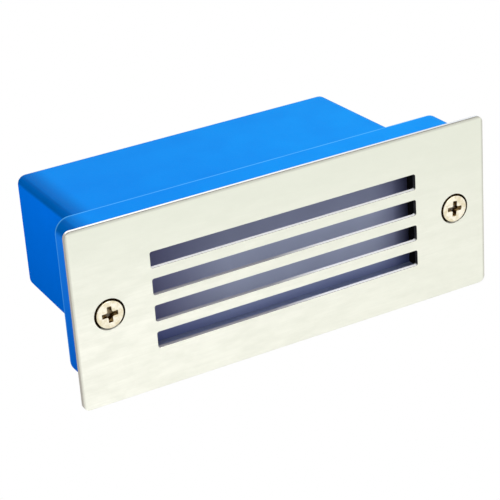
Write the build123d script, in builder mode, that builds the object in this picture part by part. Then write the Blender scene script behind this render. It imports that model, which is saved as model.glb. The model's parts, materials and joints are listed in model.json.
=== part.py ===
from build123d import *
import math
import os

# Recessed step light, in millimetres and at its real size.
# +X runs to the right along the fascia, +Y goes into the wall and +Z is up.
# The origin is the centre of the fascia's rear face, the plane that seats on the wall,
# so a depth is a distance behind that face.

os.makedirs("parts", exist_ok=True)

# ---- Driving dimensions ----

# Fascia: a flat steel plate with louvre slots and two countersunk holes
FASCIA_SIZE = (140.0, 56.0)
FASCIA_THICKNESS = 1.4
FASCIA_CORNER = 2.0
SLOT_COUNT = 4
SLOT_SIZE = (90.0, 5.2)
SLOT_PITCH = 8.45
SLOT_CORNER = 0.7
GASKET_SIZE = (134.0, 51.0)
GASKET_WINDOW = (100.0, 40.0)
GASKET_CORNER = 3.0
GASKET_THICKNESS = 1.5

# Fascia screws: M4 countersunk, one in the middle of each end
SCREW_X = 59.0
SCREW_HEAD_RADIUS = 4.2
SCREW_HEAD_EDGE = 0.95
SCREW_HEAD_RISE = 0.3
SCREW_SHANK_RADIUS = 1.95
SCREW_LENGTH = 12.0
COUNTERSINK_RADIUS = 4.9
COUNTERSINK_HOLE_RADIUS = 3.6
RECESS_SPAN = 5.1
RECESS_ARM = 1.45
RECESS_DEPTH = 2.0
LEFT_SCREW_TURN = 3.0
RIGHT_SCREW_TURN = -5.0

# Recess box: a shallow flange pocket that steps in to a drafted deep section
WALL = 2.0
BOX_FRONT = GASKET_THICKNESS
FLANGE_REAR = 16.2
FLANGE_SIZE = (131.6, 49.8)
FLANGE_CORNER = 4.6
FLANGE_EDGE = 0.6
DEEP_REAR = 69.3
DEEP_SIZE = (113.0, 39.2)
DEEP_Z = -0.6
DEEP_CORNER = 3.0
DRAFT = 0.8

# Brass inserts in the two screw bosses
INSERT_OUTER_RADIUS = 2.8
INSERT_BORE_RADIUS = 2.0
INSERT_LENGTH = 8.0
BOSS_RADIUS = 4.6
BOSS_WEB = 5.0
BOSS_DRILL_RADIUS = 2.4
BOSS_DRILL_DEPTH = 13.0

# Lamp bezel: a notched plate in the flange pocket, with a collar round the light window
BEZEL_SIZE = (125.0, 42.6)
BEZEL_FRONT = 1.7
BEZEL_REAR = 10.5
BEZEL_PLATE_FRONT = 4.2
BEZEL_PLATE_REAR = 6.2
BEZEL_NOTCH = 5.4
COLLAR_SIZE = (101.5, 40.4)
WINDOW_SIZE = (94.0, 35.0)
REBATE_SIZE = (97.6, 37.2)
BEZEL_SCREW_X = 59.0
BEZEL_SCREW_Z = 15.0
POST_WIDTH = 6.0

# Diffuser and its seal
DIFFUSER_FRONT = 6.3
DIFFUSER_SIZE = (97.0, 36.6)
DIFFUSER_THICKNESS = 2.5
DIFFUSER_EDGE = 0.3
SEAL_THICKNESS = 1.0
SEAL_WIDTH = 2.2

# Reflector tray behind the diffuser, tapering to the LED board
REFLECTOR_FRONT = DIFFUSER_FRONT + DIFFUSER_THICKNESS + SEAL_THICKNESS
REFLECTOR_SIZE = (95.4, 35.0)
REFLECTOR_TAPER = 18.5
REFLECTOR_WALL = 1.5
REFLECTOR_REAR = 25.5
EAR_X = 53.3
EAR_Z = 8.5
EAR_WIDTH = 5.0
EAR_INNER_X = 46.8
EAR_THICKNESS = 1.8

# LED board with two rows of surface-mounted LEDs
BOARD_GAP = 0.3
BOARD_THICKNESS = 1.6
BOARD_SIZE = (86.0, 26.0)
LED_COLUMNS = 6
LED_ROWS = 2
LED_PITCH = (15.0, 13.0)
LED_WIDTH = 5.0
LED_HEIGHT = 1.6
LED_GAP = 0.3
BOARD_SCREW_X = 30.0
STANDOFF_RADIUS = 2.6
STANDOFF_FRONT = 20.0
CONNECTOR_X = -40.0
CONNECTOR_SIZE = (6.0, 8.0)
CONNECTOR_HEIGHT = 6.5
PIN_PITCH = 2.5

# Hexagon-headed self-tapping screws: head radius, head height, shank radius, shank length.
# These hidden screws and their bores are drawn with flats, which keeps the repeats light.
HEX_SIDES = 6
BORE_SIDES = 8
LARGE_SCREW = (2.8, 1.8, 1.4, 6.0)
SMALL_SCREW = (1.9, 1.4, 1.05, 4.5)
PILOT_GAP = 0.05
CLEARANCE = 0.25

# Driver: case, lid, board, transformer and two capacitors
CHAMBER_Z = DEEP_Z
CHAMBER_FLOOR = DEEP_REAR - WALL
DRIVER_X = -15.0
DRIVER_SIZE = (42.0, 28.0)
DRIVER_WALL = 1.5
DRIVER_FRONT = 48.5
DRIVER_REAR = 67.0
LID_THICKNESS = 1.5
LID_EDGE = 0.4
LIP_HEIGHT = 1.6
LIP_WALL = 1.0
LIP_GAP = 0.15
DRIVER_EAR_X = 24.5
DRIVER_EAR_Z = -9.0
DRIVER_EAR_FRONT = 60.5
DRIVER_EAR_THICKNESS = 2.0
DRIVER_EAR_WIDTH = 6.4
DRIVER_BOARD_FRONT = 62.0
DRIVER_BOARD_SIZE = (38.4, 24.4)
DRIVER_RIB_X = 15.0
DRIVER_RIB_SIZE = (2.0, 20.0)
TRANSFORMER_X = -8.0
CORE_SIZE = (16.0, 14.0)
CORE_HEIGHT = 11.5
CORE_WINDOW = (3.4, 9.0)
COIL_RADIUS = 5.4
COIL_INSET = 1.0
CAPACITOR_X = 8.0
CAPACITOR_Z = 6.0
CAPACITOR_RADIUS = 4.0
CAPACITOR_HEIGHT = 11.0

# Terminal block on the rear wall
TERMINAL_X = 26.0
TERMINAL_SIZE = (14.0, 20.0)
TERMINAL_FRONT = 49.0
TERMINAL_REAR = 62.0
TERMINAL_BASE = 4.0
POLE_COUNT = 2
POLE_PITCH = 10.0
TOWER_WIDTH = 7.4
CLAMP_DEPTH = 57.0
CLAMP_LENGTH = 13.0
CLAMP_WIDTH = 5.0
CLAMP_BORE_RADIUS = 1.6
CLAMP_GAP = 0.1
TERMINAL_SCREW_PITCH = 7.2
TERMINAL_SCREW_SEAT = 52.2
TERMINAL_SCREW = (1.9, 1.6, 1.25, 3.2)
WELL_RADIUS = 2.1
FIXING_SCREW = (1.9, 1.4, 1.4, 8.0)
RIB_Z = 8.0
RIB_SIZE = (12.0, 2.0)

# Cable entry: a grommet in a dish that keeps it clear of the rear wall's outer face
ENTRY_X = 42.0
DISH_RADIUS = 9.0
DISH_DEPTH = 2.0
DISH_PAD_WIDTH = 21.6
ENTRY_HOLE_RADIUS = 6.0
GROMMET_BORE_RADIUS = 3.5
GROMMET_LIP_RADIUS = 8.0
GROMMET_LIP = 1.6

# Internal leads
MAINS_LEAD_RADIUS = 1.0
LED_LEAD_RADIUS = 0.65
LEAD_SPACING = 4.4
LEAD_INSET = 3.0
LEAD_GAP = 0.1
BEND_SHARE = 0.45


def wall_plane(depth, x=0.0, z=0.0):
    """Plane parallel to the wall at a depth, facing out of it, with X to the right and Z up."""
    return Plane(origin=(x, depth, z), x_dir=(1, 0, 0), z_dir=(0, -1, 0))


def end_plane(x, depth, z):
    """Plane square to the fascia's length, facing right, with its X into the wall and Z up."""
    return Plane(origin=(x, depth, z), x_dir=(0, 1, 0), z_dir=(1, 0, 0))


def turned(points, x=0.0, z=0.0):
    """Solid of revolution about the line into the wall at x and z; a point is (radius, depth)."""
    with BuildPart() as body:
        with BuildSketch(Plane(origin=(x, 0, z), x_dir=(1, 0, 0), z_dir=(0, 0, 1))):
            with BuildLine():
                Polyline(*points, close=True)
            make_face()
        revolve(axis=Axis((x, 0, z), (0, 1, 0)))
    return body.part


def drafted_block(depth, size, length, angle, z=0.0):
    """Rectangular block from a depth into the wall, its four sides leaning in by an angle."""
    front = wall_plane(depth, 0, z)
    with BuildPart() as body:
        with BuildSketch(front):
            Rectangle(*size)
        extrude(amount=-length)
        draft(body.faces().filter_by(Axis.Y, reverse=True), front, -angle)
    return body.part


def hex_screws(size, seat, places, facing=1):
    """Group of hexagon-headed screws seated at a depth; facing is 1 for heads that face out of
    the wall and -1 for heads that face into it."""
    head_radius, head_height, shank_radius, shank_length = size
    with BuildPart() as body:
        with BuildSketch(wall_plane(seat)):
            with Locations(*places):
                RegularPolygon(head_radius, HEX_SIDES)
        extrude(amount=facing * head_height)
        with BuildSketch(wall_plane(seat)):
            with Locations(*places):
                RegularPolygon(shank_radius, BORE_SIDES)
        extrude(amount=-facing * shank_length)
    return body.part


def lead(points, radius):
    """Insulated lead along straight runs, each corner rounded as far as its shorter run allows."""
    corners = [Vector(*point) for point in points]
    runs = [after - before for before, after in zip(corners, corners[1:])]
    bends = []
    for before, after in zip(runs, runs[1:]):
        half_turn = math.radians(before.get_angle(after)) / 2
        bends.append(BEND_SHARE * min(before.length, after.length) / math.tan(half_turn))
    print("lead bend radii", [round(bend, 1) for bend in bends])
    with BuildPart() as body:
        with BuildLine() as route:
            FilletPolyline(*points, radius=bends)
        with BuildSketch(Plane(origin=route.line @ 0, z_dir=route.line % 0)):
            RegularPolygon(radius, HEX_SIDES)
        sweep(path=route.line)
    return body.part


screw_places = [(-SCREW_X, 0), (SCREW_X, 0)]
bezel_screw_places = [
    (x, z) for x in (-BEZEL_SCREW_X, BEZEL_SCREW_X) for z in (-BEZEL_SCREW_Z, BEZEL_SCREW_Z)
]
ear_places = [(x, z) for x in (-EAR_X, EAR_X) for z in (-EAR_Z, EAR_Z)]
board_screw_places = [(-BOARD_SCREW_X, 0), (BOARD_SCREW_X, 0)]
driver_screw_places = [
    (DRIVER_X - DRIVER_EAR_X, CHAMBER_Z + DRIVER_EAR_Z),
    (DRIVER_X + DRIVER_EAR_X, CHAMBER_Z + DRIVER_EAR_Z),
]

# ---- Fascia ----

with BuildPart() as fascia_plate:
    with BuildSketch(wall_plane(0)):
        RectangleRounded(*FASCIA_SIZE, FASCIA_CORNER)
        with GridLocations(0, SLOT_PITCH, 1, SLOT_COUNT):
            RectangleRounded(*SLOT_SIZE, SLOT_CORNER, mode=Mode.SUBTRACT)
    extrude(amount=FASCIA_THICKNESS)
    with Locations(wall_plane(-FASCIA_THICKNESS)):
        with Locations(*screw_places):
            CounterSinkHole(COUNTERSINK_HOLE_RADIUS, COUNTERSINK_RADIUS, counter_sink_angle=90)
fascia_plate.part.label = "fascia_plate"
export_step(fascia_plate.part, "parts/fascia_plate.step")

with BuildPart() as fascia_gasket:
    with BuildSketch(wall_plane(0)):
        RectangleRounded(*GASKET_SIZE, GASKET_CORNER)
        Rectangle(*GASKET_WINDOW, mode=Mode.SUBTRACT)
        with Locations(*screw_places):
            Circle(SCREW_HEAD_RADIUS, mode=Mode.SUBTRACT)
    extrude(amount=-GASKET_THICKNESS)
fascia_gasket.part.label = "fascia_gasket"
export_step(fascia_gasket.part, "parts/fascia_gasket.step")

HEAD_FRONT = -FASCIA_THICKNESS - SCREW_HEAD_RISE
CONE_FRONT = HEAD_FRONT + SCREW_HEAD_EDGE
CONE_REAR = CONE_FRONT + SCREW_HEAD_RADIUS - SCREW_SHANK_RADIUS
SCREW_TIP = HEAD_FRONT + SCREW_LENGTH
screw_profile = [
    (0, HEAD_FRONT),
    (SCREW_HEAD_RADIUS, HEAD_FRONT),
    (SCREW_HEAD_RADIUS, CONE_FRONT),
    (SCREW_SHANK_RADIUS, CONE_REAR),
    (SCREW_SHANK_RADIUS, SCREW_TIP),
    (0, SCREW_TIP),
]

with BuildPart() as fascia_screw_left:
    add(turned(screw_profile, -SCREW_X))
    with BuildSketch(wall_plane(HEAD_FRONT, -SCREW_X)):
        Rectangle(RECESS_SPAN, RECESS_ARM, rotation=LEFT_SCREW_TURN)
        Rectangle(RECESS_ARM, RECESS_SPAN, rotation=LEFT_SCREW_TURN)
    extrude(amount=-RECESS_DEPTH, mode=Mode.SUBTRACT)
fascia_screw_left.part.label = "fascia_screw_left"
export_step(fascia_screw_left.part, "parts/fascia_screw_left.step")

with BuildPart() as fascia_screw_right:
    add(turned(screw_profile, SCREW_X))
    with BuildSketch(wall_plane(HEAD_FRONT, SCREW_X)):
        Rectangle(RECESS_SPAN, RECESS_ARM, rotation=RIGHT_SCREW_TURN)
        Rectangle(RECESS_ARM, RECESS_SPAN, rotation=RIGHT_SCREW_TURN)
    extrude(amount=-RECESS_DEPTH, mode=Mode.SUBTRACT)
fascia_screw_right.part.label = "fascia_screw_right"
export_step(fascia_screw_right.part, "parts/fascia_screw_right.step")

# ---- Recess box ----

FLANGE_FLOOR = FLANGE_REAR - WALL
POCKET_SIZE = (FLANGE_SIZE[0] - 2 * WALL, FLANGE_SIZE[1] - 2 * WALL)
DRAFT_INSET = (DEEP_REAR - FLANGE_FLOOR) * math.tan(math.radians(DRAFT))
CHAMBER_SIZE = (DEEP_SIZE[0] - 2 * (WALL + DRAFT_INSET), DEEP_SIZE[1] - 2 * (WALL + DRAFT_INSET))
DRIVER_POST_FRONT = DRIVER_EAR_FRONT + DRIVER_EAR_THICKNESS
BOSS_WEB_END = FLANGE_SIZE[0] / 2 - WALL / 2

with BuildPart() as deep_section:
    add(drafted_block(FLANGE_FLOOR, DEEP_SIZE, DEEP_REAR - FLANGE_FLOOR, DRAFT, DEEP_Z))
    long_edges = deep_section.edges().filter_by(Axis.X, reverse=True).filter_by(Axis.Z, reverse=True)
    rear_edges = deep_section.faces().sort_by(Axis.Y)[-1].edges()
    fillet(long_edges + rear_edges, DEEP_CORNER)

with BuildPart() as recess_shell:
    with BuildSketch(wall_plane(BOX_FRONT)):
        RectangleRounded(*FLANGE_SIZE, FLANGE_CORNER)
    extrude(amount=BOX_FRONT - FLANGE_REAR)
    chamfer(recess_shell.faces().sort_by(Axis.Y)[-1].edges(), FLANGE_EDGE)
    add(deep_section.part)
    # Pocket for the lamp bezel, and the chamber behind it
    with BuildSketch(wall_plane(BOX_FRONT)):
        RectangleRounded(*POCKET_SIZE, FLANGE_CORNER - WALL)
    extrude(amount=BOX_FRONT - FLANGE_FLOOR, mode=Mode.SUBTRACT)
    with BuildSketch(wall_plane(FLANGE_FLOOR, 0, DEEP_Z)):
        RectangleRounded(*CHAMBER_SIZE, DEEP_CORNER - WALL)
    extrude(amount=FLANGE_FLOOR - CHAMBER_FLOOR, mode=Mode.SUBTRACT)

# The shell is one moulding, divided at two depths into sections that meet face to face
flange_seam = wall_plane(FLANGE_REAR)
rear_seam = wall_plane(DEEP_REAR - DEEP_CORNER)

# Front section: the flange pocket with its bosses and posts
with BuildPart() as recess_flange:
    add(recess_shell.part)
    split(bisect_by=flange_seam, keep=Keep.TOP)
    # Fascia screw bosses, each tied to the end wall by a web
    with BuildSketch(wall_plane(BOX_FRONT)):
        for side in (-1, 1):
            with Locations((side * SCREW_X, 0)):
                Circle(BOSS_RADIUS)
            with Locations((side * (SCREW_X + BOSS_WEB_END) / 2, 0)):
                Rectangle(BOSS_WEB_END - SCREW_X, BOSS_WEB)
    extrude(amount=BOX_FRONT - FLANGE_REAR + WALL / 2)
    with BuildSketch(wall_plane(BOX_FRONT)):
        with Locations(*screw_places):
            Circle(INSERT_OUTER_RADIUS)
    extrude(amount=-INSERT_LENGTH, mode=Mode.SUBTRACT)
    with BuildSketch(wall_plane(BOX_FRONT)):
        with Locations(*screw_places):
            RegularPolygon(BOSS_DRILL_RADIUS, BORE_SIDES)
    extrude(amount=-BOSS_DRILL_DEPTH, mode=Mode.SUBTRACT)
    # Posts that carry the lamp bezel, merged with the end walls
    with BuildSketch(wall_plane(BEZEL_PLATE_REAR)):
        for x, z in bezel_screw_places:
            outward = math.copysign(BOSS_WEB_END, x)
            with Locations(((x + outward) / 2 - math.copysign(POST_WIDTH / 4, x), z)):
                Rectangle(abs(outward - x) + POST_WIDTH / 2, POST_WIDTH)
    extrude(amount=BEZEL_PLATE_REAR - FLANGE_REAR + WALL / 2)
    with BuildSketch(wall_plane(BEZEL_PLATE_REAR)):
        with Locations(*bezel_screw_places):
            RegularPolygon(LARGE_SCREW[2] + PILOT_GAP, BORE_SIDES)
    extrude(amount=-LARGE_SCREW[3], mode=Mode.SUBTRACT)
recess_flange.part.label = "recess_flange"
export_step(recess_flange.part, "parts/recess_flange.step")

# Middle section: the four drafted walls round the chamber
with BuildPart() as recess_chamber:
    add(recess_shell.part)
    split(bisect_by=flange_seam, keep=Keep.BOTTOM)
    split(bisect_by=rear_seam, keep=Keep.TOP)
recess_chamber.part.label = "recess_chamber"
export_step(recess_chamber.part, "parts/recess_chamber.step")

# Rear section: the rear wall with its rounded rim, posts and cable entry
with BuildPart() as recess_rear:
    add(recess_shell.part)
    split(bisect_by=rear_seam, keep=Keep.BOTTOM)
    # Posts for the driver
    with BuildSketch(wall_plane(DRIVER_POST_FRONT)):
        with Locations(*driver_screw_places):
            Rectangle(POST_WIDTH, POST_WIDTH)
    extrude(amount=DRIVER_POST_FRONT - DEEP_REAR + WALL / 2)
    with BuildSketch(wall_plane(DRIVER_POST_FRONT)):
        with Locations(*driver_screw_places):
            RegularPolygon(LARGE_SCREW[2] + PILOT_GAP, BORE_SIDES)
    extrude(amount=DRIVER_EAR_THICKNESS - LARGE_SCREW[3], mode=Mode.SUBTRACT)
    # Post and ribs for the terminal block
    with BuildSketch(wall_plane(TERMINAL_REAR, TERMINAL_X, CHAMBER_Z)):
        Rectangle(POST_WIDTH, POST_WIDTH)
        with GridLocations(0, 2 * RIB_Z, 1, 2):
            Rectangle(*RIB_SIZE)
    extrude(amount=TERMINAL_REAR - DEEP_REAR + WALL / 2)
    with BuildSketch(wall_plane(TERMINAL_REAR, TERMINAL_X, CHAMBER_Z)):
        RegularPolygon(FIXING_SCREW[2] + PILOT_GAP, BORE_SIDES)
    extrude(amount=TERMINAL_BASE - FIXING_SCREW[3], mode=Mode.SUBTRACT)
    # Dished cable entry
    with BuildSketch(wall_plane(CHAMBER_FLOOR - DISH_DEPTH, ENTRY_X, CHAMBER_Z)):
        Rectangle(DISH_PAD_WIDTH, DISH_PAD_WIDTH)
    extrude(amount=-DISH_DEPTH)
    with Locations(wall_plane(DEEP_REAR, ENTRY_X, CHAMBER_Z).rotated((180, 0, 0))):
        CounterBoreHole(ENTRY_HOLE_RADIUS, DISH_RADIUS, DISH_DEPTH, WALL + 2 * DISH_DEPTH)
recess_rear.part.label = "recess_rear"
export_step(recess_rear.part, "parts/recess_rear.step")

with BuildPart() as screw_inserts:
    with BuildSketch(wall_plane(BOX_FRONT)):
        with Locations(*screw_places):
            Circle(INSERT_OUTER_RADIUS)
            Circle(INSERT_BORE_RADIUS, mode=Mode.SUBTRACT)
    extrude(amount=-INSERT_LENGTH)
screw_inserts.part.label = "screw_inserts"
export_step(screw_inserts.part, "parts/screw_inserts.step")

DISH_FLOOR = DEEP_REAR - DISH_DEPTH
PAD_FRONT = CHAMBER_FLOOR - DISH_DEPTH
grommet_profile = [
    (GROMMET_BORE_RADIUS, PAD_FRONT - GROMMET_LIP),
    (GROMMET_LIP_RADIUS, PAD_FRONT - GROMMET_LIP),
    (GROMMET_LIP_RADIUS, PAD_FRONT),
    (ENTRY_HOLE_RADIUS, PAD_FRONT),
    (ENTRY_HOLE_RADIUS, DISH_FLOOR),
    (GROMMET_LIP_RADIUS, DISH_FLOOR),
    (GROMMET_LIP_RADIUS, DISH_FLOOR + GROMMET_LIP),
    (GROMMET_BORE_RADIUS, DISH_FLOOR + GROMMET_LIP),
]
with BuildPart() as cable_grommet:
    add(turned(grommet_profile, ENTRY_X, CHAMBER_Z))
cable_grommet.part.label = "cable_grommet"
export_step(cable_grommet.part, "parts/cable_grommet.step")

# ---- Lamp bezel, diffuser and seal ----

with BuildPart() as lamp_bezel:
    with BuildSketch(wall_plane(BEZEL_PLATE_FRONT)):
        Rectangle(*BEZEL_SIZE)
        for side in (-1, 1):
            with Locations((side * SCREW_X, 0)):
                Circle(BEZEL_NOTCH, mode=Mode.SUBTRACT)
            with Locations((side * (SCREW_X + BEZEL_NOTCH), 0)):
                Rectangle(2 * BEZEL_NOTCH, 2 * BEZEL_NOTCH, mode=Mode.SUBTRACT)
        with Locations(*bezel_screw_places):
            RegularPolygon(LARGE_SCREW[2] + CLEARANCE, BORE_SIDES, mode=Mode.SUBTRACT)
    extrude(amount=BEZEL_PLATE_FRONT - BEZEL_PLATE_REAR)
    with BuildSketch(wall_plane(BEZEL_FRONT)):
        Rectangle(*COLLAR_SIZE)
    extrude(amount=BEZEL_FRONT - BEZEL_REAR)
    # Bosses that take the reflector's screws
    with BuildSketch(wall_plane(BEZEL_PLATE_REAR)):
        with Locations(*ear_places):
            Rectangle(EAR_WIDTH, EAR_WIDTH)
    extrude(amount=BEZEL_PLATE_REAR - BEZEL_REAR)
    with BuildSketch(wall_plane(BEZEL_REAR)):
        with Locations(*ear_places):
            RegularPolygon(SMALL_SCREW[2] + PILOT_GAP, BORE_SIDES)
    extrude(amount=SMALL_SCREW[3], mode=Mode.SUBTRACT)
    # Light window in front, and behind it the wider rebate that takes the diffuser
    with BuildSketch(wall_plane(BEZEL_FRONT)):
        Rectangle(*WINDOW_SIZE)
    extrude(amount=BEZEL_FRONT - DIFFUSER_FRONT, mode=Mode.SUBTRACT)
    with BuildSketch(wall_plane(DIFFUSER_FRONT)):
        Rectangle(*REBATE_SIZE)
    extrude(amount=DIFFUSER_FRONT - BEZEL_REAR, mode=Mode.SUBTRACT)
lamp_bezel.part.label = "lamp_bezel"
export_step(lamp_bezel.part, "parts/lamp_bezel.step")

with BuildPart() as bezel_screws:
    add(hex_screws(LARGE_SCREW, BEZEL_PLATE_FRONT, bezel_screw_places))
bezel_screws.part.label = "bezel_screws"
export_step(bezel_screws.part, "parts/bezel_screws.step")

with BuildPart() as diffuser:
    with BuildSketch(wall_plane(DIFFUSER_FRONT)):
        Rectangle(*DIFFUSER_SIZE)
    extrude(amount=-DIFFUSER_THICKNESS)
    chamfer(diffuser.faces().sort_by(Axis.Y)[0].edges(), DIFFUSER_EDGE)
diffuser.part.label = "diffuser"
export_step(diffuser.part, "parts/diffuser.step")

with BuildPart() as diffuser_seal:
    with BuildSketch(wall_plane(DIFFUSER_FRONT + DIFFUSER_THICKNESS)):
        Rectangle(*DIFFUSER_SIZE)
        Rectangle(
            DIFFUSER_SIZE[0] - 2 * SEAL_WIDTH, DIFFUSER_SIZE[1] - 2 * SEAL_WIDTH, mode=Mode.SUBTRACT
        )
    extrude(amount=-SEAL_THICKNESS)
diffuser_seal.part.label = "diffuser_seal"
export_step(diffuser_seal.part, "parts/diffuser_seal.step")

# ---- Reflector tray and LED board ----

REFLECTOR_DEPTH = REFLECTOR_REAR - REFLECTOR_FRONT
REFLECTOR_MOUTH = (REFLECTOR_SIZE[0] - 2 * REFLECTOR_WALL, REFLECTOR_SIZE[1] - 2 * REFLECTOR_WALL)
BOARD_FRONT = REFLECTOR_REAR + BOARD_GAP
BOARD_REAR = BOARD_FRONT + BOARD_THICKNESS
CONNECTOR_REAR = BOARD_REAR + CONNECTOR_HEIGHT

with BuildPart() as reflector:
    add(drafted_block(REFLECTOR_FRONT, REFLECTOR_SIZE, REFLECTOR_DEPTH, REFLECTOR_TAPER))
    # Ears that seat on the bezel's bosses
    with BuildSketch(wall_plane(BEZEL_REAR)):
        for x, z in ear_places:
            inward = math.copysign(EAR_INNER_X, x)
            with Locations(((x + inward) / 2 + math.copysign(EAR_WIDTH / 4, x), z)):
                Rectangle(abs(x - inward) + EAR_WIDTH / 2, EAR_WIDTH)
    extrude(amount=-EAR_THICKNESS)
    hollow = drafted_block(
        REFLECTOR_FRONT, REFLECTOR_MOUTH, REFLECTOR_DEPTH - REFLECTOR_WALL, REFLECTOR_TAPER
    )
    add(hollow, mode=Mode.SUBTRACT)
    # Standoffs for the board's screws
    with BuildSketch(wall_plane(STANDOFF_FRONT)):
        with Locations(*board_screw_places):
            RegularPolygon(STANDOFF_RADIUS, BORE_SIDES)
    extrude(amount=STANDOFF_FRONT - BOARD_FRONT)
    with BuildSketch(wall_plane(BOARD_FRONT)):
        with Locations(*board_screw_places):
            RegularPolygon(SMALL_SCREW[2] + PILOT_GAP, BORE_SIDES)
    extrude(amount=SMALL_SCREW[3] - BOARD_THICKNESS + LED_GAP, mode=Mode.SUBTRACT)
    # Screw holes in the ears, and a window for each LED
    with BuildSketch(wall_plane(BEZEL_REAR)):
        with Locations(*ear_places):
            RegularPolygon(SMALL_SCREW[2] + CLEARANCE, BORE_SIDES)
    extrude(amount=-EAR_THICKNESS, mode=Mode.SUBTRACT)
    with BuildSketch(wall_plane(REFLECTOR_REAR)):
        with GridLocations(*LED_PITCH, LED_COLUMNS, LED_ROWS):
            Rectangle(LED_WIDTH + 2 * LED_GAP, LED_WIDTH + 2 * LED_GAP)
    extrude(amount=REFLECTOR_WALL, mode=Mode.SUBTRACT)
reflector.part.label = "reflector"
export_step(reflector.part, "parts/reflector.step")

with BuildPart() as reflector_screws:
    add(hex_screws(SMALL_SCREW, BEZEL_REAR + EAR_THICKNESS, ear_places, facing=-1))
reflector_screws.part.label = "reflector_screws"
export_step(reflector_screws.part, "parts/reflector_screws.step")

with BuildPart() as led_board:
    with BuildSketch(wall_plane(BOARD_FRONT)):
        Rectangle(*BOARD_SIZE)
        with Locations(*board_screw_places):
            RegularPolygon(SMALL_SCREW[2] + CLEARANCE, BORE_SIDES, mode=Mode.SUBTRACT)
    extrude(amount=-BOARD_THICKNESS)
led_board.part.label = "led_board"
export_step(led_board.part, "parts/led_board.step")

with BuildPart() as leds:
    with BuildSketch(wall_plane(BOARD_FRONT)):
        with GridLocations(*LED_PITCH, LED_COLUMNS, LED_ROWS):
            Rectangle(LED_WIDTH, LED_WIDTH)
    extrude(amount=LED_HEIGHT)
leds.part.label = "leds"
export_step(leds.part, "parts/leds.step")

with BuildPart() as board_screws:
    add(hex_screws(SMALL_SCREW, BOARD_REAR, board_screw_places, facing=-1))
board_screws.part.label = "board_screws"
export_step(board_screws.part, "parts/board_screws.step")

with BuildPart() as board_connector:
    with BuildSketch(wall_plane(BOARD_REAR, CONNECTOR_X, CHAMBER_Z)):
        Rectangle(*CONNECTOR_SIZE)
    extrude(amount=-CONNECTOR_HEIGHT)
    with BuildSketch(wall_plane(CONNECTOR_REAR, CONNECTOR_X, CHAMBER_Z)):
        with GridLocations(0, PIN_PITCH, 1, 2):
            RegularPolygon(LED_LEAD_RADIUS + LEAD_GAP, BORE_SIDES)
    extrude(amount=LEAD_INSET, mode=Mode.SUBTRACT)
board_connector.part.label = "board_connector"
export_step(board_connector.part, "parts/board_connector.step")

# ---- Driver ----

DRIVER_LEFT = DRIVER_X - DRIVER_SIZE[0] / 2
DRIVER_RIGHT = DRIVER_X + DRIVER_SIZE[0] / 2
DRIVER_FLOOR = DRIVER_REAR - DRIVER_WALL
DRIVER_INNER = (DRIVER_SIZE[0] - 2 * DRIVER_WALL, DRIVER_SIZE[1] - 2 * DRIVER_WALL)
DRIVER_BOARD_REAR = DRIVER_BOARD_FRONT + BOARD_THICKNESS
MAINS_LEAD_DEPTH = DRIVER_BOARD_FRONT - MAINS_LEAD_RADIUS
LED_LEAD_DEPTH = DRIVER_BOARD_FRONT - LED_LEAD_RADIUS

with BuildPart() as driver_case:
    with BuildSketch(wall_plane(DRIVER_FRONT, DRIVER_X, CHAMBER_Z)):
        Rectangle(*DRIVER_SIZE)
    extrude(amount=DRIVER_FRONT - DRIVER_REAR)
    with BuildSketch(wall_plane(DRIVER_EAR_FRONT, DRIVER_X, CHAMBER_Z + DRIVER_EAR_Z)):
        Rectangle(2 * DRIVER_EAR_X + DRIVER_EAR_WIDTH, DRIVER_EAR_WIDTH)
    extrude(amount=-DRIVER_EAR_THICKNESS)
    with BuildSketch(wall_plane(DRIVER_EAR_FRONT)):
        with Locations(*driver_screw_places):
            RegularPolygon(LARGE_SCREW[2] + CLEARANCE, BORE_SIDES)
    extrude(amount=-DRIVER_EAR_THICKNESS, mode=Mode.SUBTRACT)
    with BuildSketch(wall_plane(DRIVER_FRONT, DRIVER_X, CHAMBER_Z)):
        Rectangle(*DRIVER_INNER)
    extrude(amount=DRIVER_FRONT - DRIVER_FLOOR, mode=Mode.SUBTRACT)
    # Ribs under the circuit board
    with BuildSketch(wall_plane(DRIVER_BOARD_REAR, DRIVER_X, CHAMBER_Z)):
        with GridLocations(2 * DRIVER_RIB_X, 0, 2, 1):
            Rectangle(*DRIVER_RIB_SIZE)
    extrude(amount=DRIVER_BOARD_REAR - DRIVER_FLOOR)
    # Lead holes: mains at the right end, LED output at the left end
    with BuildSketch(end_plane(DRIVER_RIGHT, MAINS_LEAD_DEPTH, CHAMBER_Z)):
        with GridLocations(0, LEAD_SPACING, 1, 2):
            RegularPolygon(MAINS_LEAD_RADIUS + LEAD_GAP, BORE_SIDES)
    extrude(amount=-DRIVER_WALL, mode=Mode.SUBTRACT)
    with BuildSketch(end_plane(DRIVER_LEFT, LED_LEAD_DEPTH, CHAMBER_Z)):
        with GridLocations(0, PIN_PITCH, 1, 2):
            RegularPolygon(LED_LEAD_RADIUS + LEAD_GAP, BORE_SIDES)
    extrude(amount=DRIVER_WALL, mode=Mode.SUBTRACT)
driver_case.part.label = "driver_case"
export_step(driver_case.part, "parts/driver_case.step")

LIP_SIZE = (DRIVER_INNER[0] - 2 * LIP_GAP, DRIVER_INNER[1] - 2 * LIP_GAP)

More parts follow.
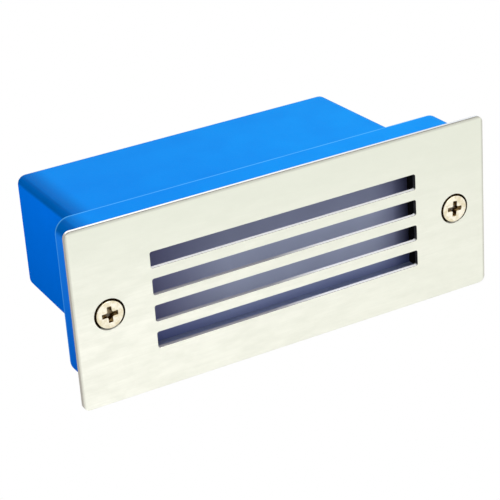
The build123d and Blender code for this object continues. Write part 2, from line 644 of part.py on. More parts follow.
with BuildPart() as driver_lid:
    with BuildSketch(wall_plane(DRIVER_FRONT, DRIVER_X, CHAMBER_Z)):
        Rectangle(*DRIVER_SIZE)
    extrude(amount=LID_THICKNESS)
    chamfer(driver_lid.faces().sort_by(Axis.Y)[0].edges(), LID_EDGE)
    with BuildSketch(wall_plane(DRIVER_FRONT, DRIVER_X, CHAMBER_Z)):
        Rectangle(*LIP_SIZE)
        Rectangle(LIP_SIZE[0] - 2 * LIP_WALL, LIP_SIZE[1] - 2 * LIP_WALL, mode=Mode.SUBTRACT)
    extrude(amount=-LIP_HEIGHT)
driver_lid.part.label = "driver_lid"
export_step(driver_lid.part, "parts/driver_lid.step")

with BuildPart() as driver_board:
    with BuildSketch(wall_plane(DRIVER_BOARD_FRONT, DRIVER_X, CHAMBER_Z)):
        Rectangle(*DRIVER_BOARD_SIZE)
    extrude(amount=-BOARD_THICKNESS)
driver_board.part.label = "driver_board"
export_step(driver_board.part, "parts/driver_board.step")

# Ferrite core with a window each side of its middle leg, and the round coil on that leg
with BuildPart() as driver_transformer:
    with BuildSketch(wall_plane(DRIVER_BOARD_FRONT, DRIVER_X + TRANSFORMER_X, CHAMBER_Z)):
        Rectangle(*CORE_SIZE)
        with GridLocations(CORE_SIZE[0] / 2, 0, 2, 1):
            Rectangle(*CORE_WINDOW, mode=Mode.SUBTRACT)
    extrude(amount=CORE_HEIGHT)
    with BuildSketch(wall_plane(DRIVER_BOARD_FRONT - COIL_INSET, DRIVER_X + TRANSFORMER_X, CHAMBER_Z)):
        Circle(COIL_RADIUS)
    extrude(amount=CORE_HEIGHT - 2 * COIL_INSET)
driver_transformer.part.label = "driver_transformer"
export_step(driver_transformer.part, "parts/driver_transformer.step")

with BuildPart() as driver_capacitors:
    with BuildSketch(wall_plane(DRIVER_BOARD_FRONT, DRIVER_X + CAPACITOR_X, CHAMBER_Z)):
        with GridLocations(0, 2 * CAPACITOR_Z, 1, 2):
            Circle(CAPACITOR_RADIUS)
    extrude(amount=CAPACITOR_HEIGHT)
driver_capacitors.part.label = "driver_capacitors"
export_step(driver_capacitors.part, "parts/driver_capacitors.step")

with BuildPart() as driver_screws:
    add(hex_screws(LARGE_SCREW, DRIVER_EAR_FRONT, driver_screw_places))
driver_screws.part.label = "driver_screws"
export_step(driver_screws.part, "parts/driver_screws.step")

# ---- Terminal block ----

BASE_FRONT = TERMINAL_REAR - TERMINAL_BASE
TUNNEL_WIDTH = CLAMP_WIDTH + 2 * CLAMP_GAP

with BuildPart() as terminal_block:
    # Low base bar with a tower over each pole
    with BuildSketch(wall_plane(TERMINAL_REAR, TERMINAL_X, CHAMBER_Z)):
        Rectangle(*TERMINAL_SIZE)
    extrude(amount=TERMINAL_BASE)
    with BuildSketch(wall_plane(BASE_FRONT, TERMINAL_X, CHAMBER_Z)):
        with GridLocations(0, POLE_PITCH, 1, POLE_COUNT):
            Rectangle(TERMINAL_SIZE[0], TOWER_WIDTH)
    extrude(amount=BASE_FRONT - TERMINAL_FRONT)
    # A tunnel for each clamp, a well over each terminal screw and one for the fixing screw
    with BuildSketch(end_plane(TERMINAL_X, CLAMP_DEPTH, CHAMBER_Z)):
        with GridLocations(0, POLE_PITCH, 1, POLE_COUNT):
            Rectangle(TUNNEL_WIDTH, TUNNEL_WIDTH)
    extrude(amount=TERMINAL_SIZE[0], both=True, mode=Mode.SUBTRACT)
    with BuildSketch(wall_plane(TERMINAL_FRONT, TERMINAL_X, CHAMBER_Z)):
        with GridLocations(TERMINAL_SCREW_PITCH, POLE_PITCH, 2, POLE_COUNT):
            RegularPolygon(WELL_RADIUS, BORE_SIDES)
    extrude(amount=TERMINAL_FRONT - CLAMP_DEPTH, mode=Mode.SUBTRACT)
    with BuildSketch(wall_plane(TERMINAL_FRONT, TERMINAL_X, CHAMBER_Z)):
        RegularPolygon(WELL_RADIUS, BORE_SIDES)
    extrude(amount=TERMINAL_FRONT - BASE_FRONT, mode=Mode.SUBTRACT)
    with BuildSketch(wall_plane(BASE_FRONT, TERMINAL_X, CHAMBER_Z)):
        RegularPolygon(FIXING_SCREW[2] + CLEARANCE, BORE_SIDES)
    extrude(amount=-TERMINAL_BASE, mode=Mode.SUBTRACT)
terminal_block.part.label = "terminal_block"
export_step(terminal_block.part, "parts/terminal_block.step")

with BuildPart() as terminal_clamps:
    with BuildSketch(end_plane(TERMINAL_X, CLAMP_DEPTH, CHAMBER_Z)):
        with GridLocations(0, POLE_PITCH, 1, POLE_COUNT):
            Rectangle(CLAMP_WIDTH, CLAMP_WIDTH)
            RegularPolygon(CLAMP_BORE_RADIUS, BORE_SIDES, mode=Mode.SUBTRACT)
    extrude(amount=CLAMP_LENGTH / 2, both=True)
    with BuildSketch(wall_plane(CLAMP_DEPTH, TERMINAL_X, CHAMBER_Z)):
        with GridLocations(TERMINAL_SCREW_PITCH, POLE_PITCH, 2, POLE_COUNT):
            RegularPolygon(TERMINAL_SCREW[2] + PILOT_GAP, BORE_SIDES)
    extrude(amount=CLAMP_WIDTH, mode=Mode.SUBTRACT)
terminal_clamps.part.label = "terminal_clamps"
export_step(terminal_clamps.part, "parts/terminal_clamps.step")

poles = [CHAMBER_Z - POLE_PITCH / 2, CHAMBER_Z + POLE_PITCH / 2]
screw_columns = [TERMINAL_X - TERMINAL_SCREW_PITCH / 2, TERMINAL_X + TERMINAL_SCREW_PITCH / 2]

with BuildPart() as terminal_screws:
    add(hex_screws(TERMINAL_SCREW, TERMINAL_SCREW_SEAT, [(x, z) for x in screw_columns for z in poles]))
terminal_screws.part.label = "terminal_screws"
export_step(terminal_screws.part, "parts/terminal_screws.step")

with BuildPart() as terminal_fixing_screw:
    add(hex_screws(FIXING_SCREW, BASE_FRONT, [(TERMINAL_X, CHAMBER_Z)]))
terminal_fixing_screw.part.label = "terminal_fixing_screw"
export_step(terminal_fixing_screw.part, "parts/terminal_fixing_screw.step")

# ---- Internal leads ----

CLAMP_MOUTH = TERMINAL_X - CLAMP_LENGTH / 2
MAINS_RUN = 3.5


def mains_lead(pole_z, case_z):
    """Lead from inside a terminal clamp to the right end of the driver's board."""
    return lead(
        [
            (CLAMP_MOUTH + LEAD_INSET, CLAMP_DEPTH, pole_z),
            (CLAMP_MOUTH - MAINS_RUN, CLAMP_DEPTH, pole_z),
            (DRIVER_RIGHT + MAINS_RUN, MAINS_LEAD_DEPTH, case_z),
            (DRIVER_RIGHT - DRIVER_WALL - LEAD_INSET, MAINS_LEAD_DEPTH, case_z),
        ],
        MAINS_LEAD_RADIUS,
    )


def led_lead(pin_z):
    """Lead from the left end of the driver's board round to the LED board's connector."""
    return lead(
        [
            (DRIVER_LEFT + DRIVER_WALL + LEAD_INSET, LED_LEAD_DEPTH, pin_z),
            (CONNECTOR_X, LED_LEAD_DEPTH, pin_z),
            (CONNECTOR_X, CONNECTOR_REAR - LEAD_INSET, pin_z),
        ],
        LED_LEAD_RADIUS,
    )


with BuildPart() as live_lead:
    add(mains_lead(poles[1], CHAMBER_Z + LEAD_SPACING / 2))
live_lead.part.label = "live_lead"
export_step(live_lead.part, "parts/live_lead.step")

with BuildPart() as neutral_lead:
    add(mains_lead(poles[0], CHAMBER_Z - LEAD_SPACING / 2))
neutral_lead.part.label = "neutral_lead"
export_step(neutral_lead.part, "parts/neutral_lead.step")

with BuildPart() as led_positive_lead:
    add(led_lead(CHAMBER_Z + PIN_PITCH / 2))
led_positive_lead.part.label = "led_positive_lead"
export_step(led_positive_lead.part, "parts/led_positive_lead.step")

with BuildPart() as led_negative_lead:
    add(led_lead(CHAMBER_Z - PIN_PITCH / 2))
led_negative_lead.part.label = "led_negative_lead"
export_step(led_negative_lead.part, "parts/led_negative_lead.step")
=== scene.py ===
import bpy
import bmesh
import json
import math
from mathutils import Matrix, Vector


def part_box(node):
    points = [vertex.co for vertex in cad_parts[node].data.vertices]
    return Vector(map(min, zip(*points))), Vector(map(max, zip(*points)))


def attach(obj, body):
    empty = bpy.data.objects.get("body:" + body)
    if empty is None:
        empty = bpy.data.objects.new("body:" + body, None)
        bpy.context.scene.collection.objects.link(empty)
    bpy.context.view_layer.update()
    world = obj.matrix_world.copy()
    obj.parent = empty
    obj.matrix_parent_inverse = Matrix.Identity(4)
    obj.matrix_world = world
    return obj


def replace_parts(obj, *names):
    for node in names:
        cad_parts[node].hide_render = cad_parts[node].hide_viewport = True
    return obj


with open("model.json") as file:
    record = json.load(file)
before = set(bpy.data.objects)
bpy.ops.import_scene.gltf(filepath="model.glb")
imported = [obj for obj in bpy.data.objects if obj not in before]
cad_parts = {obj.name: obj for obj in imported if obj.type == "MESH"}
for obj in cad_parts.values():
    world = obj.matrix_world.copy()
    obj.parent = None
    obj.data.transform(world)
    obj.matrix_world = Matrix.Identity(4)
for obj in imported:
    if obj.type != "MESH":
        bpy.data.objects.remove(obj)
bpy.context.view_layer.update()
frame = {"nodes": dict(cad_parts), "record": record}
nodes = frame["nodes"]

MM = 0.001

# ---- Camera: the photograph's viewing angle ----

FOCAL_PIXELS = 1879.2
PICTURE_PIXELS = 500
SENSOR_MM = 36.0
LIFT_PIXELS = 0.3
TILT_X = 0.4379
TURN_Y = -0.4875
ROLL_Z = -0.0719
CAMERA_PLACE = Vector((-244.22, -437.51, 237.94)) * MM


def make_camera():
    """Camera whose axes come from the view's tilt, turn and roll.

    A lift of a fraction of a pixel splits the offset that the fit leaves on the plate's details.
    """
    data = bpy.data.cameras.new("photo_camera")
    data.sensor_width = SENSOR_MM
    data.lens = FOCAL_PIXELS * SENSOR_MM / PICTURE_PIXELS
    data.shift_y = -LIFT_PIXELS / PICTURE_PIXELS
    data.clip_start = 0.01
    data.clip_end = 10.0
    camera = bpy.data.objects.new("photo_camera", data)
    bpy.context.scene.collection.objects.link(camera)
    depth_last = Matrix(((1, 0, 0), (0, 0, -1), (0, 1, 0)))
    roll = Matrix.Rotation(ROLL_Z, 3, "Z")
    tilt = Matrix.Rotation(TILT_X, 3, "X")
    turn = Matrix.Rotation(TURN_Y, 3, "Y")
    view = roll @ tilt @ turn @ depth_last
    flip = Matrix.Diagonal((1, -1, -1))
    camera.matrix_world = Matrix.Translation(CAMERA_PLACE) @ (view.transposed() @ flip).to_4x4()
    bpy.context.scene.camera = camera


make_camera()

# ---- Node helpers ----

# Most of a noise texture's values lie in this span
NOISE_SPAN = (0.3, 0.7)


class Nodes:
    """Short calls for building one material's node tree."""

    def __init__(self, name):
        self.material = bpy.data.materials.new(name)
        self.material.use_nodes = True
        self.tree = self.material.node_tree
        self.shader = self.tree.nodes["Principled BSDF"]
        self.coord = self.tree.nodes.new("ShaderNodeTexCoord").outputs["Object"]

    def add(self, kind, **values):
        node = self.tree.nodes.new(kind)
        for key, value in values.items():
            setattr(node, key, value)
        return node

    def link(self, source, target):
        self.tree.links.new(source, target)

    def stretched(self, scale):
        """Object coordinates times a scale for each axis."""
        mapping = self.add("ShaderNodeMapping")
        mapping.inputs["Scale"].default_value = scale
        self.link(self.coord, mapping.inputs["Vector"])
        return mapping.outputs["Vector"]

    def noise(self, scale, detail=3.0, rough=0.55, stretch=None):
        node = self.add("ShaderNodeTexNoise")
        node.inputs["Scale"].default_value = scale
        node.inputs["Detail"].default_value = detail
        node.inputs["Roughness"].default_value = rough
        self.link(self.stretched(stretch) if stretch else self.coord, node.inputs["Vector"])
        return node.outputs["Fac"]

    def ramp(self, value, low, high, out_low=0.0, out_high=1.0, smooth=False):
        node = self.add("ShaderNodeMapRange")
        if smooth:
            node.interpolation_type = "SMOOTHSTEP"
        node.inputs["From Min"].default_value = low
        node.inputs["From Max"].default_value = high
        node.inputs["To Min"].default_value = out_low
        node.inputs["To Max"].default_value = out_high
        self.link(value, node.inputs["Value"])
        return node.outputs["Result"]

    def math(self, operation, a, b=None):
        node = self.add("ShaderNodeMath", operation=operation)
        for socket, value in zip(node.inputs, (a, b)):
            if value is None:
                continue
            if isinstance(value, (int, float)):
                socket.default_value = value
            else:
                self.link(value, socket)
        return node.outputs["Value"]

    def mix(self, factor, a, b, blend="MIX"):
        node = self.add("ShaderNodeMix", data_type="RGBA", blend_type=blend)
        sockets = (node.inputs[0], node.inputs[6], node.inputs[7])
        for socket, value in zip(sockets, (factor, a, b)):
            if isinstance(value, (int, float)):
                socket.default_value = value
            elif isinstance(value, tuple):
                socket.default_value = (*value, 1.0)
            else:
                self.link(value, socket)
        return node.outputs[2]

    def bump(self, height, distance, strength=1.0, normal=None):
        node = self.add("ShaderNodeBump")
        node.inputs["Distance"].default_value = distance
        node.inputs["Strength"].default_value = strength
        self.link(height, node.inputs["Height"])
        if normal is not None:
            self.link(normal, node.inputs["Normal"])
        return node.outputs["Normal"]

    def bevel(self, radius):
        node = self.add("ShaderNodeBevel", samples=4)
        node.inputs["Radius"].default_value = radius
        return node.outputs["Normal"]

    def axis(self, source, name):
        split = self.add("ShaderNodeSeparateXYZ")
        self.link(source, split.inputs["Vector"])
        return split.outputs[name]

    def distance(self, off, up):
        """Length of the hypotenuse over two offsets."""
        squares = self.math("MULTIPLY", off, off), self.math("MULTIPLY", up, up)
        return self.math("SQRT", self.math("ADD", *squares))

    def radius(self, x):
        """Distance from the nearer of two lines into the wall, at plus and minus x."""
        off = self.math("SUBTRACT", self.math("ABSOLUTE", self.axis(self.coord, "X")), x)
        return self.distance(off, self.axis(self.coord, "Z"))

    def speckle(self, noise, low, high):
        """Two close colours mixed by a noise over its usual span."""
        return self.mix(self.ramp(noise, *NOISE_SPAN), low, high)

    def normal_axis(self, name):
        """One axis of the surface's true normal, in the object's own directions."""
        return self.axis(self.add("ShaderNodeTexCoord").outputs["Normal"], name)

    def set(self, **values):
        for key, value in values.items():
            socket = self.shader.inputs[key.replace("_", " ")]
            if isinstance(value, tuple):
                socket.default_value = (*value, 1.0)
            elif isinstance(value, (int, float)):
                socket.default_value = value
            else:
                self.link(value, socket)
        return self.material


def linear(red, green, blue):
    """Scene-linear colour from 0 to 255 display values."""
    channels = []
    for value in (red, green, blue):
        value /= 255
        channels.append(value / 12.92 if value <= 0.04045 else ((value + 0.055) / 1.055) ** 2.4)
    return tuple(channels)


def scaled(colour, factor):
    """A colour made lighter or darker by a factor."""
    return tuple(channel * factor for channel in colour)


# ---- Sizes in mm, as in the CAD where it has them ----

SCREW_X = 59.0
HEAD_FRONT = -1.7
HEAD_RADIUS = 4.2
HEAD_EDGE = 0.95
HEAD_ROUND = 0.12
SHANK_RADIUS = 1.95
THREAD_PITCH = 0.7
THREAD_DEPTH = 0.38
SCREW_TIP = 10.3
RECESS_SPAN = 5.1
RECESS_ARM = 1.45
RECESS_DEPTH = 2.0
LEFT_TURN = math.radians(3)
RIGHT_TURN = math.radians(-5)

# Half lengths of the recess box's deep section and flange, the height of the deep section's
# middle, and its draft in degrees
DEEP_END = 56.7
FLANGE_END = 65.8
BOX_Z = -0.6
DRAFT = 0.8

DRIVER_X = -15.0
TRANSFORMER_X = -23.0
COIL_RADIUS = 5.4
TERMINAL_X = 26.0
LED_PITCH = (15.0, 13.0)

# ---- Materials ----


# Spans over which the fascia's finish changes, all in metres: along X and Z, then along Y
PLATE_LENGTH = (-60 * MM, 60 * MM)
PLATE_UPPER = (-4 * MM, 24 * MM)
ARRIS_TOP = (27.1 * MM, 27.9 * MM)
ARRIS_ENDS = (69.2 * MM, 69.9 * MM)
OUTER_TOP = (24 * MM, 25 * MM)
OUTER_ENDS = (60 * MM, 62 * MM)
DULL_LENGTH = (-6 * MM, 12 * MM)
DULL_HEIGHT = (8 * MM, 9 * MM)
CONE_RADIUS = (5.1 * MM, 5.3 * MM)
DARK_FADE_HEIGHT = (-4.0 * MM, -2.4 * MM)
EDGE_DEPTH = (-0.95 * MM, -0.8 * MM)
SLOT_DEPTH = (-1.25 * MM, -1.1 * MM)
CONE_DEPTH = (-1.39 * MM, -1.36 * MM)
# Spans of a normal's axis: turning to face along it, and turning to face against it
FACING = (0.6, 0.9)
FACING_AWAY = (-0.9, -0.6)


def brushed_steel():
    """Stainless plate brushed along its length, with painted light and shade on its front, cut
    edges and arrises, and a dark film with painted shade in its countersinks.
    """
    n = Nodes("fascia_steel")
    streaks = n.noise(900.0, 4.0, 0.7, stretch=(0.035, 1.0, 1.0))
    fine = n.noise(3200.0, 2.0, 0.6, stretch=(0.02, 1.0, 1.0))
    smears = n.noise(260.0, 5.0, 0.68, stretch=(0.35, 1.0, 1.0))
    grain = n.math("ADD", n.math("MULTIPLY", streaks, 0.5), n.math("MULTIPLY", fine, 0.5))
    depth = n.axis(n.coord, "Y")
    height = n.axis(n.coord, "Z")
    along = n.axis(n.coord, "X")
    from_middle = n.math("ABSOLUTE", along)
    steel = n.mix(n.ramp(grain, 0.35, 0.65), linear(247, 247, 235), linear(255, 255, 244))
    steel = n.mix(n.ramp(smears, 0.38, 0.62, 0.0, 0.6), steel, linear(236, 237, 224))
    # Painted shade: the front darkens towards its right end and towards its top
    steel = n.mix(n.ramp(along, *PLATE_LENGTH, 0.0, 0.55), steel, linear(234, 236, 222))
    steel = n.mix(n.ramp(height, *PLATE_UPPER, 0.0, 0.75), steel, linear(232, 235, 221))
    # Painted shade: the front darkens in a hair's breadth along its upper arris and its two ends
    arris_shade = n.math("MAXIMUM", n.ramp(height, *ARRIS_TOP), n.ramp(from_middle, *ARRIS_ENDS))
    steel = n.mix(n.math("MULTIPLY", arris_shade, 0.7), steel, linear(178, 176, 166))
    # Cut edges, painted light and shade: the upper ones get a painted highlight behind a painted
    # dark arris, the lower ones painted shade, and the end ones are painted grey, near black at
    # the slot ends
    faces_up = n.ramp(n.normal_axis("Z"), *FACING)
    faces_down = n.ramp(n.normal_axis("Z"), *FACING_AWAY, 1.0, 0.0)
    faces_end = n.ramp(n.math("ABSOLUTE", n.normal_axis("X")), *FACING)
    outer = n.ramp(height, *OUTER_TOP)
    outer_end = n.ramp(from_middle, *OUTER_ENDS)
    arris = n.math("MULTIPLY", n.ramp(depth, *EDGE_DEPTH, 1.0, 0.0), outer)
    rim = n.mix(n.ramp(along, *PLATE_LENGTH), linear(255, 255, 255), linear(214, 218, 222))
    rim = n.mix(arris, rim, linear(126, 122, 112))
    slot_arris = n.ramp(depth, *SLOT_DEPTH, 1.0, 0.0)
    slot_wall = n.mix(slot_arris, linear(255, 255, 255), linear(112, 104, 96))
    # Painted shade: the lower walls of the three lower slots are painted greyer towards their left
    # ends
    wall_shade = n.math("MULTIPLY", n.ramp(along, *DULL_LENGTH, 0.8, 0.0),
                  n.ramp(height, *DULL_HEIGHT, 1.0, 0.0))
    slot_wall = n.mix(wall_shade, slot_wall, linear(104, 100, 112))
    steel = n.mix(faces_up, steel, n.mix(outer, slot_wall, rim))
    steel = n.mix(faces_down, steel, linear(120, 120, 122))
    end_face = n.mix(outer_end, linear(26, 24, 22), linear(176, 170, 160))
    steel = n.mix(faces_end, steel, end_face)
    # Dark film in the countersinks, partly stain and partly painted shade of the gap round the
    # heads; it fades out at their lowest point, where the cone faces the light
    radius = n.radius(SCREW_X * MM)
    in_cone = n.math("MULTIPLY", n.ramp(radius, *CONE_RADIUS, 1.0, 0.0),
                     n.ramp(depth, *CONE_DEPTH))
    ragged = n.math("ADD", height, n.math("MULTIPLY", n.noise(700.0, 3.0, 0.6), 2 * MM))
    film_and_shade = n.math("MULTIPLY", in_cone, n.ramp(ragged, *DARK_FADE_HEIGHT))
    flecks = n.ramp(n.noise(1300.0, 2.0, 0.5), 0.5, 0.7)
    steel = n.mix(film_and_shade, steel, n.mix(flecks, linear(22, 12, 3), linear(92, 72, 44)))
    rough = n.ramp(grain, *NOISE_SPAN, 0.38, 0.5)
    painted = n.math("MAXIMUM", film_and_shade, n.math("MAXIMUM", faces_up, faces_end))
    metal = n.ramp(painted, 0.0, 1.0, 0.85, 0.0)
    shine = n.ramp(film_and_shade, 0.0, 1.0, 0.5, 0.0)
    normal = n.bump(grain, 0.01 * MM, 0.5, n.bevel(0.12 * MM))
    return n.set(Base_Color=steel, Metallic=metal, Roughness=rough, Normal=normal,
                 Anisotropic=0.5, Specular_IOR_Level=shine)


# Depths at which the dark film and painted shade on a fascia screw set in below the face, and end
# on the cone
DARK_START = ((HEAD_FRONT + 0.1) * MM, (HEAD_FRONT + 0.22) * MM)
DARK_END = (0.2 * MM, 0.6 * MM)
HEAD_SIDE = (3.6 * MM, 3.8 * MM)


def screw_metal():
    """Yellow-passivated steel, with a dark film and painted shade in the recess and on the head's
    side.
    """
    n = Nodes("screw_plate")
    mottle = n.noise(420.0, 4.0, 0.6)
    patches = n.noise(900.0, 2.0, 0.5)
    bright = n.ramp(mottle, 0.38, 0.6, smooth=True)
    colour = n.mix(bright, linear(232, 220, 188), linear(254, 248, 230))
    # Dark film and painted shade in the cross recess, with paler patches, and darker painted shade
    # on the head's side in the gap round it
    film_and_shade = n.mix(n.ramp(patches, 0.44, 0.6), linear(44, 24, 2), linear(168, 140, 92))
    film_and_shade = n.mix(n.ramp(n.radius(SCREW_X * MM), *HEAD_SIDE, 0.0, 0.8), film_and_shade, linear(30, 18, 4))
    depth = n.axis(n.coord, "Y")
    stained_and_shaded = n.math("MULTIPLY", n.ramp(depth, *DARK_START), n.ramp(depth, *DARK_END, 1.0, 0.0))
    colour = n.mix(stained_and_shaded, colour, film_and_shade)
    rough = n.ramp(mottle, *NOISE_SPAN, 0.3, 0.45)
    normal = n.bump(n.noise(2600.0, 3.0, 0.6), 0.02 * MM, 0.4, n.bevel(0.1 * MM))
    return n.set(Base_Color=colour, Metallic=n.ramp(stained_and_shaded, 0.0, 1.0, 0.88, 0.0),
                 Roughness=rough, Normal=normal,
                 Specular_IOR_Level=n.ramp(stained_and_shaded, 0.0, 1.0, 0.5, 0.0))


# Spans of the recess box's shading, in metres
BOX_LENGTH = (-60 * MM, 60 * MM)
BOX_HEIGHT = (-22 * MM, 20 * MM)
EDGE_SPREAD = (2 * MM, 9 * MM)
LIP_DEPTH = (14.9 * MM, 15.3 * MM)
# Painted shade down the sides of the flange and the deep section: the darker colour low down, the
# lighter high up
FLANGE_SHADES = (linear(10, 96, 204), linear(28, 128, 240))
DEEP_SHADES = (linear(0, 98, 206), linear(2, 118, 240))


def box_plastic(name, rim=False):
    """Satin blue moulding with painted light: lighter where it faces up, with painted shade at its
    left edge.
    """
    n = Nodes(name)
    right = n.axis(n.coord, "X")
    depth = n.axis(n.coord, "Y")
    height = n.axis(n.coord, "Z")
    across = n.normal_axis("X")
    upward = n.normal_axis("Z")
    mottle = n.noise(60.0, 3.0, 0.55)
    # Painted light: the sides darken towards the bottom, the top lightens towards the right, and
    # faces turned up are painted lighter than the sides
    side = n.mix(n.ramp(height, *BOX_HEIGHT), *(FLANGE_SHADES if rim else DEEP_SHADES))
    top = n.mix(n.ramp(right, *BOX_LENGTH), linear(0, 128, 222), linear(8, 144, 232))
    colour = n.mix(n.ramp(upward, 0.35, 0.95, smooth=True), side, top)
    # Painted shade on the rounded edge between the left side and the top, which turns away from
    # the light
    corner = n.ramp(n.math("MULTIPLY", across, upward), -0.42, -0.02, 1.0, 0.0, smooth=True)
    # The shade of the rounded edge runs out onto the top within a few millimetres
    drafted_in = n.math("MULTIPLY", depth, 0.0 if rim else math.tan(math.radians(DRAFT)))
    end = n.math("SUBTRACT", FLANGE_END * MM if rim else DEEP_END * MM, drafted_in)
    inward = n.math("ADD", end, right)
    spread = n.ramp(inward, *EDGE_SPREAD, 0.75, 0.0, smooth=True)
    spread_on_top = n.math("MULTIPLY", spread, n.ramp(upward, 0.5, 0.9))
    shade = n.math("MAXIMUM", corner, spread_on_top)
    colour = n.mix(shade, colour, linear(0, 84, 160))
    if rim:
        # The flange's rear arris catches the light
        not_rear = n.ramp(n.normal_axis("Y"), 0.1, 0.2, 1.0, 0.0)
        lip = n.math("MULTIPLY", n.ramp(depth, *LIP_DEPTH, 0.0, 0.42), not_rear)
        colour = n.mix(lip, colour, linear(110, 200, 255))
    colour = n.mix(n.ramp(mottle, *NOISE_SPAN, 0.0, 0.25), colour, linear(0, 104, 208))
    texture = n.noise(2400.0, 3.0, 0.6)
    normal = n.bump(texture, 0.03 * MM, 0.35, n.bevel(0.4 * MM) if rim else None)
    sheen = n.ramp(upward, 0.75, 1.0, 0.0, 0.03)
    return n.set(Base_Color=colour, Roughness=n.ramp(texture, *NOISE_SPAN, 0.4, 0.5),
                 Normal=normal, Specular_IOR_Level=sheen)


LEDGE_HEIGHT = (-16 * MM, -15 * MM)


def bezel_plastic():
    """Near-black moulding whose lower ledge in the light window, where it faces up, is painted
    pale blue-grey as a painted highlight.
    """
    n = Nodes("bezel_plastic")
    mottle = n.noise(140.0, 3.0, 0.55)
    shade = n.speckle(mottle, linear(12, 11, 13), linear(22, 20, 22))
    low_down = n.ramp(n.axis(n.coord, "Z"), *LEDGE_HEIGHT, 1.0, 0.0)
    ledge = n.math("MULTIPLY", n.ramp(n.normal_axis("Z"), *FACING), low_down)
    # Painted highlight: the up-facing ledge low in the window is painted pale blue-grey, as if lit
    # from above
    ledge_light = n.speckle(mottle, linear(140, 150, 184), linear(152, 162, 194))
    shade = n.mix(ledge, shade, ledge_light)
    texture = n.noise(2000.0, 3.0, 0.6)
    normal = n.bump(texture, 0.03 * MM, 0.5, n.bevel(0.2 * MM))
    return n.set(Base_Color=shade, Roughness=n.ramp(texture, *NOISE_SPAN, 0.5, 0.62),
                 Normal=normal, Specular_IOR_Level=0.1)


MOULDED_SPREAD = 0.12


def moulded(name, colour, rough=0.5, grain=2200.0, depth=0.03 * MM):
    """Moulded plastic or rubber: two close shades, a fine grain and softened edges."""
    n = Nodes(name)
    mottle = n.noise(140.0, 3.0, 0.55)
    low, high = scaled(colour, 1 - MOULDED_SPREAD), scaled(colour, 1 + MOULDED_SPREAD)
    shade = n.speckle(mottle, low, high)
    texture = n.noise(grain, 3.0, 0.6)
    normal = n.bump(texture, depth, 0.5, n.bevel(0.2 * MM))
    matt = n.ramp(texture, *NOISE_SPAN, rough - 0.06, rough + 0.06)
    return n.set(Base_Color=shade, Roughness=matt, Normal=normal)


def plated(name, colour, rough=0.3):
    """Plated or machined metal with faint mottling and a fine grain."""
    n = Nodes(name)
    mottle = n.noise(500.0, 3.0, 0.6)
    shade = n.speckle(mottle, scaled(colour, 0.88), scaled(colour, 1.06))
    normal = n.bump(n.noise(3000.0, 2.0, 0.6), 0.02 * MM, 0.4, n.bevel(0.1 * MM))
    satin = n.ramp(mottle, *NOISE_SPAN, rough - 0.06, rough + 0.08)
    return n.set(Base_Color=shade, Metallic=1.0, Roughness=satin, Normal=normal)


CELL_SPAN = (0.0, 0.6)


def foam():
    """Closed-cell foam: dark cells with paler walls."""
    n = Nodes("gasket_foam")
    cells = n.add("ShaderNodeTexVoronoi")
    cells.inputs["Scale"].default_value = 1400.0
    n.link(n.coord, cells.inputs["Vector"])
    distance = cells.outputs["Distance"]
    shade = n.mix(n.ramp(distance, *CELL_SPAN), linear(20, 20, 21), linear(52, 52, 54))
    normal = n.bump(distance, 0.1 * MM, 0.7)
    return n.set(Base_Color=shade, Roughness=n.ramp(distance, *CELL_SPAN, 0.95, 0.8),
                 Normal=normal)


# Spans of the diffuser's shading, in metres: along X, then along Z
LEFT_SHADE = (-46 * MM, -16 * MM)
RIGHT_SHADE = (34 * MM, 44 * MM)
RIGHT_DARK = (41.5 * MM, 47.5 * MM)
LOWER_SHADE = (-17 * MM, -9 * MM)
UPPER_SHADE = (2 * MM, 8 * MM)


def frosted():
    """Frosted blue-grey diffuser, with painted shade towards its ends and its two long edges."""
    n = Nodes("diffuser_plastic")
    cloud = n.noise(45.0, 3.0, 0.5)
    grain = n.noise(2600.0, 3.0, 0.6)
    along = n.axis(n.coord, "X")
    height = n.axis(n.coord, "Z")
    shade = n.speckle(cloud, linear(156, 164, 192), linear(168, 176, 204))
    # Painted shade: darker towards both ends, near black at the right end, and darker along the
    # lower and upper edges
    shade = n.mix(n.ramp(along, *LEFT_SHADE, 1.0, 0.0), shade, linear(88, 88, 136))
    shade = n.mix(n.ramp(along, *RIGHT_SHADE, 0.0, 0.5), shade, linear(104, 106, 156))
    shade = n.mix(n.ramp(along, *RIGHT_DARK, 0.0, 0.97), shade, linear(14, 16, 50))
    lower = n.ramp(height, *LOWER_SHADE, 0.45, 0.0, smooth=True)
    shade = n.mix(lower, shade, linear(120, 138, 206))
    upper = n.ramp(height, *UPPER_SHADE, 0.0, 0.32, smooth=True)
    shade = n.mix(upper, shade, linear(108, 112, 156))
    normal = n.bump(grain, 0.04 * MM, 0.5)
    return n.set(Base_Color=shade, Roughness=n.ramp(grain, *NOISE_SPAN, 0.42, 0.55),
                 Normal=normal, Specular_IOR_Level=0.3)


def circuit_board(name, mask, track):
    """Board with a solder mask over a grid of fine tracks."""
    n = Nodes(name)
    bricks = n.add("ShaderNodeTexBrick", offset=0.37)
    bricks.inputs["Scale"].default_value = 260.0
    bricks.inputs["Mortar Size"].default_value = 0.06
    swap = n.add("ShaderNodeCombineXYZ")
    n.link(n.axis(n.coord, "X"), swap.inputs["X"])
    n.link(n.axis(n.coord, "Z"), swap.inputs["Y"])
    n.link(swap.outputs["Vector"], bricks.inputs["Vector"])
    shade = n.mix(bricks.outputs["Fac"], mask, track)
    mottle = n.noise(300.0, 3.0, 0.6)
    shade = n.mix(n.ramp(mottle, *NOISE_SPAN, 0.0, 0.2), shade, scaled(mask, 0.8))
    normal = n.bump(bricks.outputs["Fac"], 0.04 * MM, 0.5, n.bevel(0.1 * MM))
    return n.set(Base_Color=shade, Roughness=n.ramp(mottle, *NOISE_SPAN, 0.3, 0.42), Normal=normal)


